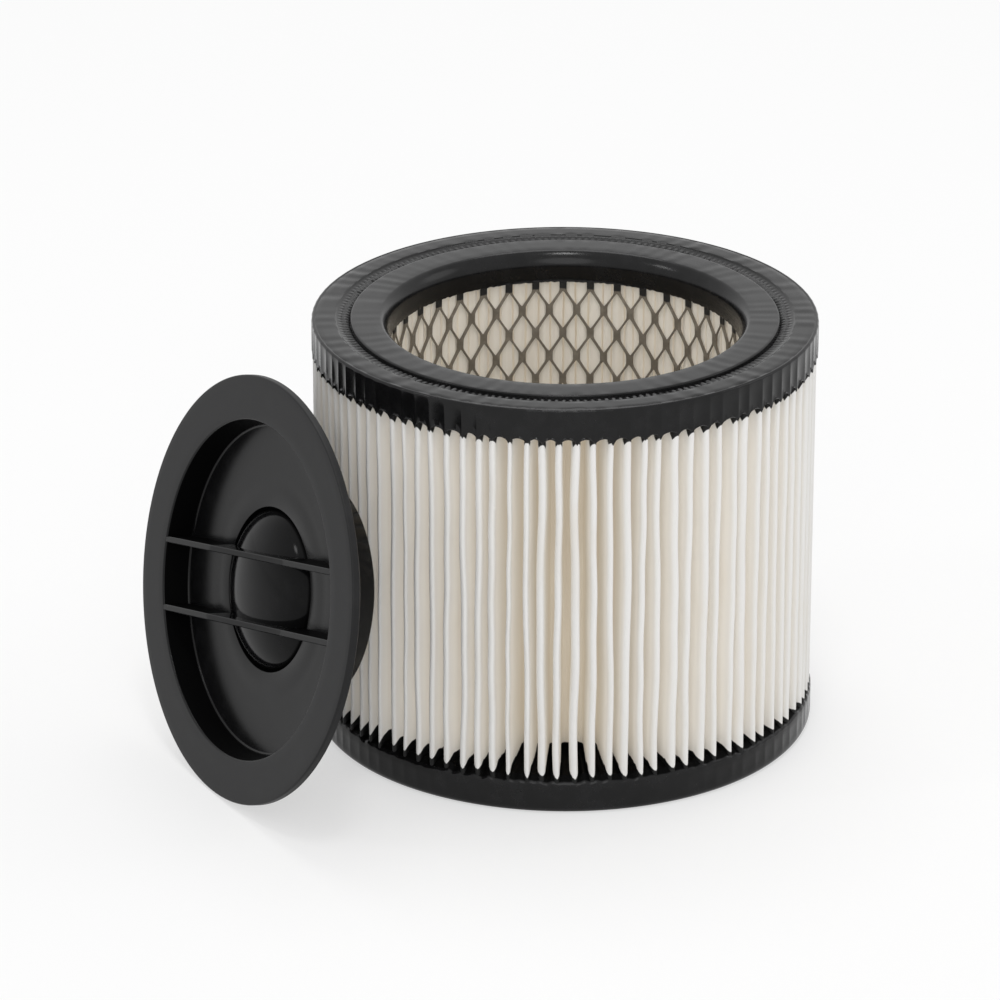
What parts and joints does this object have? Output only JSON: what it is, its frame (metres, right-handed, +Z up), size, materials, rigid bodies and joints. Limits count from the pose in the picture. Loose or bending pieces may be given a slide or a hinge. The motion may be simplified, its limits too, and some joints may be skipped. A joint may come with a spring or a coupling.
{
  "type": "shop vacuum cartridge filter",
  "caption": "Round pleated paper cartridge filter with moulded end caps, a metal mesh core and a flanged retainer cap leaning beside it.",
  "frame": {"origin": "on the filter's axis at the underside of its lower end cap, where it stands", "axes": "+Z up along the filter's axis towards the throat that the retainer closes, -X towards the leaning retainer cap"},
  "size_m": [0.215, 0.165, 0.14],
  "materials": {
    "filter_paper": "matt off-white pleated filter paper",
    "end_cap_black": "satin black moulded elastomer",
    "mesh_metal": "dull grey expanded sheet metal",
    "retainer_black": "fine-textured black moulded plastic"
  },
  "bodies": {
    "root": {"pleated_media": "filter_paper", "upper_end_cap": "end_cap_black", "lower_end_cap": "end_cap_black", "support_mesh": "mesh_metal", "retainer_cap": "retainer_black"}
  },
  "joints": []
}
